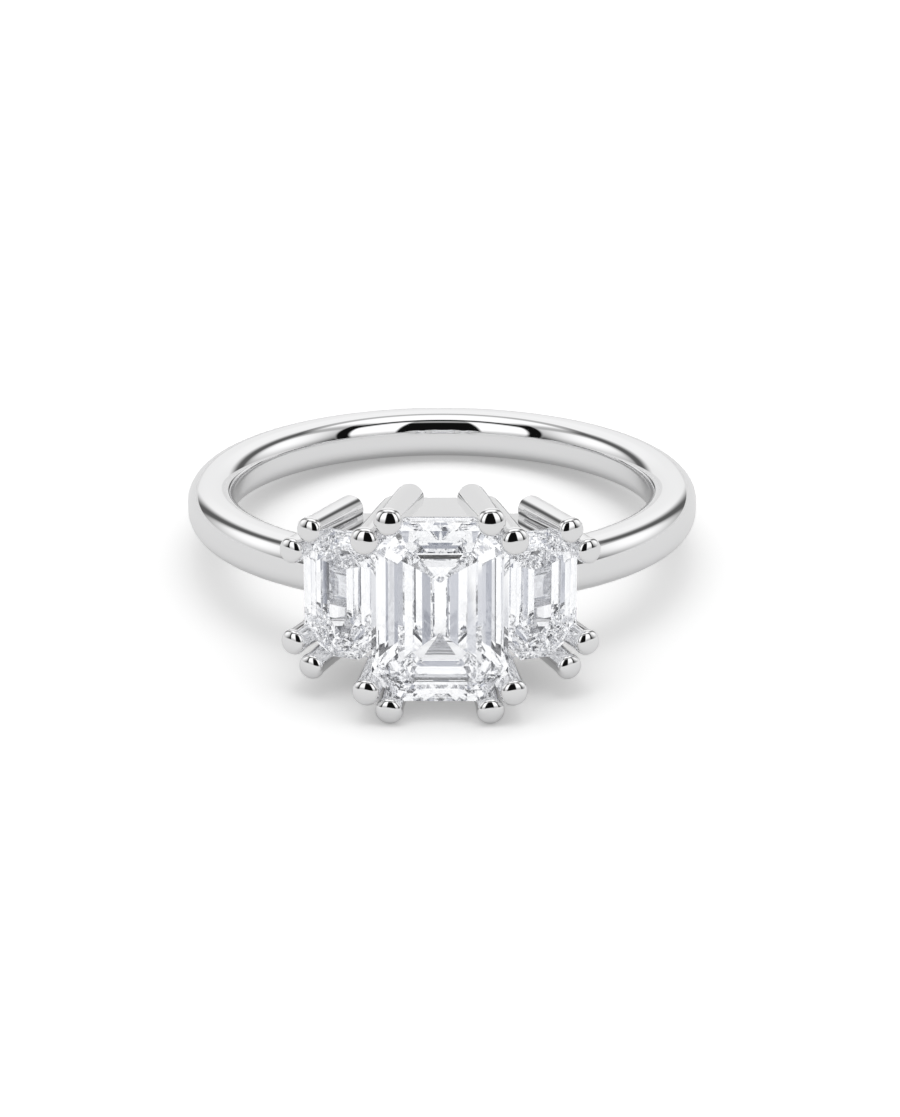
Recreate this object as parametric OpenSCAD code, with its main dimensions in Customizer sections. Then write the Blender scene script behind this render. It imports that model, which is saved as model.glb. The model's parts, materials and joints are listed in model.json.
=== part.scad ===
// Three-stone ring: an emerald-cut stone between two smaller ones, held by pairs of
// round-headed claws on a round-wire shank, lying on its side as it rests by itself.
// Each part is drawn round the finger: X runs across the head, -Y points from the
// finger to the stones and Z runs along the finger. The whole ring is then tipped
// back until its front claws and the far side of its shank stand on the plane z = 0.
// All sizes are in millimetres.

/* [Shank] */
// Inside diameter of the finger hole
finger_d = 17; // [15:0.1:21]
// Thickness of the shank, from the finger outwards
shank_t = 1.95; // [1.85:0.05:2]
// Width of the shank, along the finger
shank_w = 2.05; // [1.85:0.05:2.2]
// Radius that rounds the four edges of the shank
shank_round = 0.85; // [0.5:0.05:0.9]

/* [Centre stone] */
// Width of the centre stone, across the head
centre_w = 5.11; // [4.9:0.01:5.3]
// Length of the centre stone, along the finger
centre_l = 7.09; // [6.8:0.01:7.3]
// Corner cut of the centre stone
centre_cut = 1; // [0.8:0.05:1.2]
// Height of its girdle over the finger hole
centre_rise = 4.83; // [4.75:0.01:5.2]

/* [Side stones] */
// Width of a side stone, across the head
side_w = 3.25; // [3:0.01:3.3]
// Length of a side stone, along the finger
side_l = 5.1; // [4.8:0.01:5.2]
// Corner cut of a side stone
side_cut = 1; // [0.8:0.05:1.1]
// How far the middle of a side stone lies to the side
side_x = 3.64; // [3.6:0.01:3.8]
// Height of the middle of its girdle over the finger hole
side_rise = 2.93; // [2.9:0.01:3]
// Turn of a side stone, away from the centre stone
side_turn = 20; // [16:1:22]

/* [Claws] */
// Thickness of a centre claw's wire at its head
centre_wire = 1; // [0.9:0.02:1.04]
// Thickness of a side claw's wire at its head
side_wire = 0.94; // [0.86:0.02:1]
// How much thicker each wire is at its foot
foot_swell = 1.12; // [1:0.01:1.15]
// Depth of each claw's round head, as a share of the wire's radius
head_depth = 0.66; // [0.6:0.02:0.8]
// Height of the centre claws' heads over the girdle
centre_claw_rise = 0.58; // [0.5:0.02:0.7]
// Height of the side claws' heads over the girdle
side_claw_rise = 0.87; // [0.7:0.01:1]
// Clearance between a stone and its seat, as a share of the stone's half size
seat_play = 0.012; // [0.008:0.002:0.02]

/* [Gallery] */
// Thickness of the walls between the claws
wall_t = 0.5; // [0.4:0.05:0.6]
// Thickness of the rails that join the claws to the shank
rail_d = 0.84; // [0.7:0.02:0.9]

/* [Hidden] */
$fn = 64;

finger_r = finger_d / 2;
shank_r = finger_r + shank_t / 2;

// Steps of a stone, from its table down to its lowest step, as shares of its width:
// [distance in from the girdle's outline, height over the girdle's middle].
STEPS = [
    [0.196, 0.124],
    [0.125, 0.096],
    [0.051, 0.053],
    [0.000, 0.012],
    [0.000, -0.012],
    [0.130, -0.168],
    [0.300, -0.315],
];
// Height of the keel, where the last step ends, as a share of the width
KEEL = -0.42;
// A corner facet that keeps the slope of its neighbours narrows by this share of the
// distance in, and no corner becomes narrower than SMALLEST_CUT of the girdle's
NARROWING = 2 - sqrt(2);
SMALLEST_CUT = 0.3;

// The claws of one quarter of the head, by number: 0 and 1 hold the centre stone and
// 2 and 3 a side stone, the first of each pair at the stone's end, the second at its side.
CENTRE_END = 0;
CENTRE_SIDE = 1;
SIDE_END = 2;
SIDE_SIDE = 3;
// Heads: [how far back from the corner where end and side would meet, how far out]
HEADS = [[0.66, 0.20], [0.54, 0.20], [0.64, 0.20], [0.69, 0.09]];

function is_side(claw) = claw >= SIDE_END;
function stands_at_end(claw) = claw % 2 == 0;
function stone_size(side) = side ? [side_w, side_l] : [centre_w, centre_l];
function stone_turn(side) = side ? side_turn : 0;
function stone_at(side) = side
    ? [side_x, -finger_r - side_rise, 0] : [0, -finger_r - centre_rise, 0];
function head_r(claw) = (is_side(claw) ? side_wire : centre_wire) / 2;

// A point given in a stone's own directions: across, over the girdle, along the finger
function from_stone(side, across, over, along) = stone_at(side) + [
    across * cos(stone_turn(side)) + over * sin(stone_turn(side)),
    across * sin(stone_turn(side)) - over * cos(stone_turn(side)),
    along];

// A claw's head is a shallow cap whose arc rolls over into a round shoulder, the arc of
// the wire's own width. The cap's centre lies below the head's middle by CAP_SINK. All
// three are shares of the wire's radius.
SHOULDER = 0.45;
CAP_SINK = (pow(1 - SHOULDER, 2) - pow(head_depth - SHOULDER, 2))
    / (2 * (head_depth - SHOULDER));
CAP_R = CAP_SINK + head_depth;

// The middle of a claw's head, where the wire ends and the shoulder starts
function claw_head(claw) =
    let (side = is_side(claw), back = -HEADS[claw][0], out = HEADS[claw][1])
    from_stone(side,
        stone_size(side)[0] / 2 + (stands_at_end(claw) ? back : out),
        side ? side_claw_rise : centre_claw_rise,
        stone_size(side)[1] / 2 + (stands_at_end(claw) ? out : back));

// The ring stands on the heads of its two lowest claws and on the far side of its
// shank. The tilt puts the three at one height: a * sin(tilt) = b * cos(tilt) + c,
// where each edge of the shank is an arc about a point set in by shank_round.
low_head = claw_head(CENTRE_END);
edge_y = shank_r + shank_t / 2 - shank_round;
edge_z = shank_w / 2 - shank_round;
tilt_a = edge_y - low_head.y;
tilt_b = low_head.z - edge_z;
tilt_c = head_r(CENTRE_END) - shank_round;
tilt = atan2(tilt_b, tilt_a) + asin(tilt_c / norm([tilt_a, tilt_b]));
lift = head_r(CENTRE_END) + low_head.z * cos(tilt) + low_head.y * sin(tilt);

// The lowest claws lie level on the plane that the ring rests on, their feet a hair
// above it, which sets how far along the finger these feet stand
low_foot_y = -finger_r - 0.25;
foot_clearance = 0.02;
low_foot_z = (lift - low_foot_y * sin(tilt) - foot_clearance) / cos(tilt)
    - foot_swell * head_r(CENTRE_END);
// Feet: [angle round the finger, height over the finger hole, distance along the finger]
FEET = [
    [7.7, -low_foot_y / cos(7.7) - finger_r, low_foot_z],
    [11.3, 0.5, low_foot_z - 0.45],
    [21.5, 0.83, 2.52],
    [25.0, 0.87, 1.8],
];

function claw_foot(claw) =
    let (angle = FEET[claw][0], r = finger_r + FEET[claw][1])
    [r * sin(angle), -r * cos(angle), FEET[claw][2]];

// The point on a claw's axis at a share of the way from its foot to its head
function along_claw(claw, share) = claw_foot(claw) * (1 - share) + claw_head(claw) * share;

// How far the resting ring reaches to the front, at the caps of the lowest heads, whose
// axes point forward by low_forward, and to the back, at the far side of the shank
low_run = low_head - claw_foot(CENTRE_END);
low_forward = (low_run.z * sin(tilt) - low_run.y * cos(tilt)) / norm(low_run);
front_y = low_head.y * cos(tilt) - low_head.z * sin(tilt)
    - head_r(CENTRE_END) * (CAP_R - CAP_SINK * low_forward);
back_y = edge_y * cos(tilt) + edge_z * sin(tilt) + shank_round;

// Where the ring comes to rest, with its origin under the middle of its box
module at_rest() {
    translate([0, -(front_y + back_y) / 2, lift]) rotate([-tilt, 0, 0]) children();
}

// Both halves of the head
module both_sides() {
    for (side = [0, 1]) mirror([side, 0, 0]) children();
}

// All four quarters of the head
module four_quarters() {
    both_sides() for (end = [0, 1]) mirror([0, 0, end]) children();
}

module shank_profile() {
    translate([shank_r, 0]) {
        square([shank_t, shank_w - 2 * shank_round], center = true);
        square([shank_t - 2 * shank_round, shank_w], center = true);
        for (x = [-1, 1], y = [-1, 1])
            translate([x * (shank_t / 2 - shank_round), y * (shank_w / 2 - shank_round)])
                circle(r = shank_round);
    }
}

module shank() {
    rotate_extrude() shank_profile();
}

// Half the outline of a claw: a straight wire, thicker at its foot, with its head. The
// cap ends where the line from its centre through the shoulder's centre meets its arc.
module claw_profile(length, r) {
    inset = (1 - SHOULDER) * r;
    sink = CAP_SINK * r;
    polygon([[0, 0], [foot_swell * r, 0], [r, length], [0, length]]);
    translate([0, length]) {
        translate([inset, 0]) circle(r = SHOULDER * r);
        intersection() {
            translate([0, -sink]) circle(r = CAP_R * r);
            polygon([[0, -sink], [2 * inset, sink], [2 * inset, 2 * r], [0, 2 * r]]);
        }
    }
}

module claw(number) {
    run = claw_head(number) - claw_foot(number);
    translate(claw_foot(number))
        rotate([0, acos(run.z / norm(run)), atan2(run.y, run.x)])
            rotate_extrude() claw_profile(norm(run), head_r(number));
}

// A wall of the gallery: an outline across the head, leaning as the given claw does.
// Its outer face is drop inside the axis of that claw at the claw's foot.
module gallery_wall(outline, claw, drop) {
    foot = claw_foot(claw);
    run = claw_head(claw) - foot;
    lean = atan2(run.z, -run.y);
    translate([0, foot.y, foot.z - drop]) rotate([-lean, 0, 0])
        translate([0, -foot.y, -wall_t]) linear_extrude(wall_t) polygon(outline);
}

// The wall between the two end claws of the centre stone
module centre_wall() {
    foot = claw_foot(CENTRE_END);
    near = along_claw(CENTRE_END, 0.8);
    gallery_wall([[foot.x, foot.y], [near.x, near.y], [-near.x, near.y], [-foot.x, foot.y]],
        CENTRE_END, 0);
}

// The wall between a centre claw and a side claw, ending just under the side stone
module side_wall() {
    under = -0.25;
    inner = from_stone(true, 0.22 - side_w / 2, under, 0);
    outer = from_stone(true, side_w / 2 - HEADS[SIDE_END][0], under, 0);
    centre_foot = claw_foot(CENTRE_SIDE);
    side_foot = claw_foot(SIDE_END);
    gallery_wall([
        [centre_foot.x, centre_foot.y], [inner.x, inner.y],
        [outer.x, outer.y], [side_foot.x, side_foot.y]], SIDE_END, 0.2);
}

// A rail along the finger that joins the feet of claws to the shank
module foot_rail(angle, along) {
    rotate([0, 0, angle]) translate([0, -shank_r, 0])
        cylinder(d = rail_d, h = 2 * along, center = true);
}

// Outline of a stone at a distance in from its girdle, as a ring of eight points
function outline(size, cut, inset, z) =
    let (w = size[0] / 2 - inset, l = size[1] / 2 - inset,
        c = max(cut - NARROWING * inset, SMALLEST_CUT * cut))
    [[w, l - c, z], [w - c, l, z], [c - w, l, z], [-w, l - c, z],
        [-w, c - l, z], [c - w, -l, z], [w - c, -l, z], [w, c - l, z]];

// Step-cut stone with cut corners, its table towards +Z and its girdle at z = 0
module step_cut(size, cut) {
    width = size[0];
    rings = len(STEPS);
    keel_l = (size[1] - width) / 2;
    points = [
        for (step = STEPS) each outline(size, cut, step[0] * width, step[1] * width),
        [0, keel_l, KEEL * width],
        [0, -keel_l, KEEL * width]];
    // The first four corners of a ring lie over one end of the keel, the rest over the other
    keel_end = function (i) 8 * rings + (i % 8 < 4 ? 0 : 1);
    faces = [
        [for (i = [7:-1:0]) i],
        for (ring = [0:rings - 2], i = [0:7])
            [8 * ring + i, 8 * ring + (i + 1) % 8,
                8 * (ring + 1) + (i + 1) % 8, 8 * (ring + 1) + i],
        for (i = [0:7]) let (a = 8 * (rings - 1) + i, b = 8 * (rings - 1) + (i + 1) % 8)
            keel_end(i) == keel_end(i + 1)
                ? [a, b, keel_end(i)] : [a, b, keel_end(i + 1), keel_end(i)]];
    polyhedron(points, faces);
}

// A stone in its place on the ring, or with a scale over 1 the room it is set in
module set_stone(side, size_scale = 1) {
    translate(stone_at(side)) rotate([90, 0, stone_turn(side)]) scale(size_scale)
        step_cut(stone_size(side), side ? side_cut : centre_cut);
}

module metal() {
    shank();
    four_quarters() for (number = [CENTRE_END:SIDE_SIDE]) claw(number);
    for (end = [0, 1]) mirror([0, 0, end]) centre_wall();
    four_quarters() side_wall();
    both_sides() {
        foot_rail(FEET[CENTRE_SIDE][0], FEET[CENTRE_SIDE][2]);
        foot_rail((FEET[SIDE_END][0] + FEET[SIDE_SIDE][0]) / 2, FEET[SIDE_END][2]);
    }
}

module mount() {
    color("silver") at_rest() difference() {
        metal();
        set_stone(false, 1 + seat_play);
        both_sides() set_stone(true, 1 + seat_play);
    }
}

module centre_stone() {
    color("azure") at_rest() set_stone(false);
}

module left_stone() {
    color("lightcyan") at_rest() mirror([1, 0, 0]) set_stone(true);
}

module right_stone() {
    color("lightcyan") at_rest() set_stone(true);
}

mount();
centre_stone();
left_stone();
right_stone();
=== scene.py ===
"""Looks of a three-stone ring that lies on its side on a pale floor.

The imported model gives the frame: its mount record says where the finger hole lies and how
far the ring is tipped. Every piece is drawn round the finger first, as the solids are: X
runs across the head, -Y points from the finger to the stones and Z runs along the finger.
RingPose then lays it down where the solids lie.
"""
from __future__ import annotations

import json
import logging
import math
from dataclasses import dataclass
from enum import Enum
from typing import Sequence

import bpy
import numpy as np
from bpy.types import Material, Mesh, NodeSocket, NodeTree, Object
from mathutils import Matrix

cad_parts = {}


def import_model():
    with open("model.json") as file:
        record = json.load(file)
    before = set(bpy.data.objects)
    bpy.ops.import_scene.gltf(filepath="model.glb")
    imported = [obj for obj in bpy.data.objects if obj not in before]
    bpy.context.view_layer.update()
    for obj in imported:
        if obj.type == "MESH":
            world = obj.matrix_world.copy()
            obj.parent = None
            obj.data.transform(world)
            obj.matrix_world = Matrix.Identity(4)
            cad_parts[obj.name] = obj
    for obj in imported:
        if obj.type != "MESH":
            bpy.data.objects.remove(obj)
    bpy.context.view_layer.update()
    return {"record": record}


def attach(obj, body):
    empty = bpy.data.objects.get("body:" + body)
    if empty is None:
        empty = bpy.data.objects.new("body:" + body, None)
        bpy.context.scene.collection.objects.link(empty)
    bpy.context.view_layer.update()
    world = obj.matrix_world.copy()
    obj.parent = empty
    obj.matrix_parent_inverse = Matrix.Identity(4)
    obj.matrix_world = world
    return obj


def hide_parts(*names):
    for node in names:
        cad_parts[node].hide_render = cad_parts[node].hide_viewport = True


Triple = tuple[float, float, float]

LOG = logging.getLogger("ring")
BODY = "root"

# Lengths are in metres; TINY only keeps a division from failing
MM = 0.001
TINY = 1e-9

X_AXIS = (1.0, 0.0, 0.0)
Z_AXIS = (0.0, 0.0, 1.0)
WHITE = (1.0, 1.0, 1.0, 1.0)
BLACK = (0.0, 0.0, 0.0, 1.0)


class Node(Enum):
    """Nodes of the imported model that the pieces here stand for."""

    MOUNT = "mount"
    CENTRE_STONE = "centre_stone"
    LEFT_STONE = "left_stone"
    RIGHT_STONE = "right_stone"


class Slot(Enum):
    """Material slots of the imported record."""

    METAL = "polished_metal"
    DIAMOND = "diamond"


class Side(Enum):
    """Half of the head, seen with the stones towards the eye."""

    LEFT = -1
    RIGHT = 1


class Level(Enum):
    """End of the head along the finger, as the ring lies."""

    UPPER = 1
    LOWER = -1


def unit(vector: np.ndarray) -> np.ndarray:
    """Returns the vector, or each row of an array of vectors, at length one."""
    return vector / np.linalg.norm(vector, axis=-1, keepdims=True)


def mirrored(points: np.ndarray, side: Side, level: Level) -> np.ndarray:
    """Takes points of the upper right quarter of the head to the quarter that is named."""
    return np.asarray(points) * np.array([side.value, 1.0, level.value])


@dataclass(frozen=True)
class RingPose:
    """Where the ring lies: the middle of its finger hole and how far it is tipped."""

    centre: Triple
    tilt: float
    finger_r: float

    @classmethod
    def from_record(cls, record: dict) -> RingPose:
        """Reads the pose from the record's finger bore.

        Args:
            record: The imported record.

        Returns:
            The pose of the resting ring.
        """
        bore = next(mount for mount in record["mounts"] if mount["name"] == "finger_bore")
        _, back, up = bore["axis"]
        return cls(tuple(bore["pos_m"]), math.atan2(back, up), bore["dims"]["r_mm"] * MM)

    def lay(self, points: np.ndarray) -> np.ndarray:
        """Lays points drawn round the finger down where the ring rests.

        Args:
            points: Points in the ring's own directions, any shape that ends in three.

        Returns:
            The points turned about X by the tilt and moved to the ring's centre.
        """
        cos, sin = math.cos(self.tilt), math.sin(self.tilt)
        turn = np.array([[1, 0, 0], [0, cos, sin], [0, -sin, cos]])
        return np.asarray(points) @ turn.T + np.array(self.centre)

    def lay_direction(self, vectors: np.ndarray) -> np.ndarray:
        """Turns directions as lay turns points, without moving them."""
        return self.lay(vectors) - np.array(self.centre)


def read(items: bpy.types.bpy_prop_collection, name: str, width: int,
         kind: type = float) -> np.ndarray:
    """Reads one property of all the vertices, faces or corners of a mesh.

    Args:
        items: The mesh's vertices, faces or corners.
        name: Name of the property.
        width: How many numbers it has for each of them.
        kind: Kind of number.

    Returns:
        One row for each item, or one number where the width is one.
    """
    values = np.empty(len(items) * width, kind)
    items.foreach_get(name, values)
    return values.reshape(-1, width) if width > 1 else values


def outward_mesh(name: str, vertices: np.ndarray, faces: list) -> Mesh:
    """Makes a closed mesh whose faces point outwards.

    The signed volume under the triangles tells which way they point: where it is below
    zero the mesh is turned round.

    Args:
        name: Name of the mesh.
        vertices: Points, one row each.
        faces: Rows of vertex numbers.

    Returns:
        The new mesh.
    """
    mesh = bpy.data.meshes.new(name)
    mesh.from_pydata(vertices.tolist(), [], faces)
    mesh.calc_loop_triangles()
    a, b, c = vertices[read(mesh.loop_triangles, "vertices", 3, np.int32)].transpose(1, 0, 2)
    if np.einsum("ij,ij->", a, np.cross(b, c)) < 0:
        mesh.flip_normals()
    return mesh


def bands(index: np.ndarray) -> list[list[int]]:
    """Four-sided faces between each ring of vertex numbers and the next."""
    here, after = index[:-1], index[1:]
    quads = [here, np.roll(here, -1, axis=1), np.roll(after, -1, axis=1), after]
    return np.stack(quads, axis=-1).reshape(-1, 4).tolist()


def skin(name: str, rings: np.ndarray, poles: np.ndarray | None = None) -> Mesh:
    """Skins a stack of rings with faces.

    Args:
        name: Name of the mesh.
        rings: Points, indexed by ring, by place round the ring and by axis.
        poles: The points that close the first and the last ring, or None where the last
            ring is followed by the first.

    Returns:
        The closed mesh.
    """
    count, around = rings.shape[:2]
    index = np.arange(count * around).reshape(count, around)
    vertices = rings.reshape(-1, 3)
    if poles is None:
        return outward_mesh(name, vertices, bands(np.vstack([index, index[:1]])))
    pole = np.full(around, count * around)
    start = np.stack([pole, np.roll(index[0], -1), index[0]], axis=-1)
    end = np.stack([pole + 1, index[-1], np.roll(index[-1], -1)], axis=-1)
    faces = [*bands(index), *start.tolist(), *end.tolist()]
    return outward_mesh(name, np.vstack([vertices, poles]), faces)


def put_in_scene(mesh: Mesh) -> Object:
    """Makes an object at the origin that shows the mesh, under the mesh's name."""
    piece = bpy.data.objects.new(mesh.name, mesh)
    bpy.context.scene.collection.objects.link(piece)
    return piece


def overlap(first: Object, second: Object) -> bool:
    """Tells whether the boxes round two objects at the origin meet."""
    points, others = (read(piece.data.vertices, "co", 3) for piece in (first, second))
    meet = ((points.min(axis=0) < others.max(axis=0))
            & (others.min(axis=0) < points.max(axis=0)))
    return bool(meet.all())


def bake_modifiers(piece: Object) -> None:
    """Turns what the modifiers make of a piece into its own mesh.

    Args:
        piece: The piece, which has no modifiers left afterwards.
    """
    graph = bpy.context.evaluated_depsgraph_get()
    before = piece.data
    made = bpy.data.meshes.new_from_object(piece.evaluated_get(graph), depsgraph=graph)
    piece.modifiers.clear()
    piece.data = made
    bpy.data.meshes.remove(before)
    made.name = piece.name


def cut_seats(piece: Object, cutters: Sequence[Object]) -> None:
    """Cuts the seats of the stones out of a metal piece.

    Args:
        piece: The metal piece.
        cutters: The room that each stone takes, a little larger than the stone.
    """
    for cutter in cutters:
        if overlap(piece, cutter):
            seat = piece.modifiers.new(cutter.name, "BOOLEAN")
            seat.operation = "DIFFERENCE"
            seat.solver = "EXACT"
            seat.object = cutter
    bake_modifiers(piece)


@dataclass(frozen=True)
class Part:
    """What every part of the ring has: where the ring lies, and a name of its own."""

    pose: RingPose
    name: str

    def turned(self, profile: np.ndarray, steps: int, start: np.ndarray, axis: np.ndarray,
               across: np.ndarray, tips: Sequence[float]) -> Mesh:
        """Turns an outline: start + along axis + out (across cos a + over sin a).

        The direction over is at right angles to both the axis and across.

        Args:
            profile: The outline, as columns along the axis and out from it.
            steps: Points in one turn.
            start: Point on the axis that distances along it are taken from.
            axis: Direction of the axis.
            across: A direction at right angles to it.
            tips: Distance along the axis of each of the two poles.

        Returns:
            The closed mesh.
        """
        angle = np.linspace(0, 2 * math.pi, steps, endpoint=False)[:, None]
        spokes = across * np.cos(angle) + np.cross(axis, across) * np.sin(angle)
        along, out = profile.T[:, :, None, None]
        rings = start + along * axis + out * spokes
        poles = start + np.outer(tips, axis)
        return skin(self.name, self.pose.lay(rings), self.pose.lay(poles))


@dataclass(frozen=True)
class Shank(Part):
    """The closed band that goes round the finger."""

    thickness: float = 1.95 * MM
    width: float = 2.05 * MM
    edge_r: float = 0.85 * MM
    steps_round: int = 288
    steps_per_edge: int = 20

    @property
    def middle_r(self) -> float:
        """Radius of the circle that runs through the middle of the band."""
        return self.pose.finger_r + self.thickness / 2

    def profile(self) -> np.ndarray:
        """Section of the band: four quarter circles of edge_r joined by short flats.

        Returns:
            Points as columns out from the finger and along it.
        """
        quarter = np.linspace(0, math.pi / 2, self.steps_per_edge)
        angle = np.concatenate([quarter + turn * math.pi / 2 for turn in range(4)])
        turn = np.repeat(np.arange(4), self.steps_per_edge)
        right = np.where((turn == 0) | (turn == 3), 1, -1)
        above = np.where(turn < 2, 1, -1)
        out = right * (self.thickness / 2 - self.edge_r) + self.edge_r * np.cos(angle)
        along = above * (self.width / 2 - self.edge_r) + self.edge_r * np.sin(angle)
        return np.stack([out, along], axis=-1)

    def build(self) -> Mesh:
        """Carries the section round the finger: x = r sin a, y = -r cos a.

        Returns:
            The mesh of the band.
        """
        out, along = self.profile().T
        angle = np.linspace(0, 2 * math.pi, self.steps_round, endpoint=False)[:, None]
        across = (self.middle_r + out) * np.sin(angle)
        back = -(self.middle_r + out) * np.cos(angle)
        rings = np.stack([across, back, np.broadcast_to(along, across.shape)], axis=-1)
        mesh = skin(self.name, self.pose.lay(rings))
        mesh.shade_smooth()
        return mesh


@dataclass(frozen=True)
class StepCut(Part):
    """A stone with cut corners and straight steps, its table towards the eye.

    Its middle and turn are those that it would have on the right. The steps run from the
    table down to the last one over the keel. Each is a share of the stone's width: how far
    in from the girdle's outline, and how high over the girdle.
    """

    node: Node
    width: float
    length: float
    corner: float
    middle: Triple
    turn: float = 0.0
    side: Side = Side.RIGHT
    steps: tuple[tuple[float, float], ...] = (
        (0.196, 0.124), (0.125, 0.096), (0.051, 0.053), (0.0, 0.012), (0.0, -0.012),
        (0.130, -0.168), (0.300, -0.315))
    keel: float = -0.42
    narrowing: float = 2 - math.sqrt(2)
    smallest_corner: float = 0.3

    def outline(self, inset: float, height: float) -> np.ndarray:
        """Eight corners of the girdle's outline moved in by inset, at a height."""
        half_w, half_l = self.width / 2 - inset, self.length / 2 - inset
        cut = max(self.corner - self.narrowing * inset, self.smallest_corner * self.corner)
        across = np.array([half_w, half_w - cut, cut - half_w, -half_w])
        along = np.array([half_l - cut, half_l, half_l, half_l - cut])
        across = np.concatenate([across, across[::-1]])
        along = np.concatenate([along, -along[::-1]])
        return np.stack([across, np.full_like(across, height), along], axis=-1)

    def from_stone(self, points: np.ndarray) -> np.ndarray:
        """Turns points given across, over and along the stone into the ring's directions.

        Args:
            points: Columns across the stone, over its girdle and along the finger.

        Returns:
            The points in the ring's directions.
        """
        across, over, along = np.moveaxis(np.asarray(points, float), -1, 0)
        cos, sin = math.cos(self.turn), math.sin(self.turn)
        return np.stack([across * cos + over * sin, across * sin - over * cos, along],
                        axis=-1) + np.array(self.middle)

    def build(self, scale: float = 1.0) -> Mesh:
        """Stacks the outlines of the steps and closes them at the table and the keel.

        The three edges at either end of the last step meet in one end of the keel, and its
        long sides slope down to the whole of it.

        Args:
            scale: Size of the stone, over one for the room it is set in.

        Returns:
            The mesh of the stone, one flat face for each facet.
        """
        rings = np.stack([
            self.outline(inset * self.width, height * self.width)
            for inset, height in self.steps])
        keel_end = (self.length - self.width) / 2
        keel = [[0, self.keel * self.width, end] for end in (keel_end, -keel_end)]
        points = np.vstack([rings.reshape(-1, 3), keel]) * scale
        index = np.arange(rings.size // 3).reshape(rings.shape[:2])
        last, upper, lower = index[-1].tolist(), index.size, index.size + 1
        faces = [index[0, ::-1].tolist(), *bands(index)]
        faces += [[last[i], last[i + 1], upper] for i in range(3)]
        faces += [[last[i], last[i + 1], lower] for i in range(4, 7)]
        faces += [[last[3], last[4], lower, upper], [last[7], last[0], upper, lower]]
        placed = mirrored(self.from_stone(points), self.side, Level.UPPER)
        mesh = outward_mesh(self.name, self.pose.lay(placed), faces)
        mesh.shade_flat()
        return mesh


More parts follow.
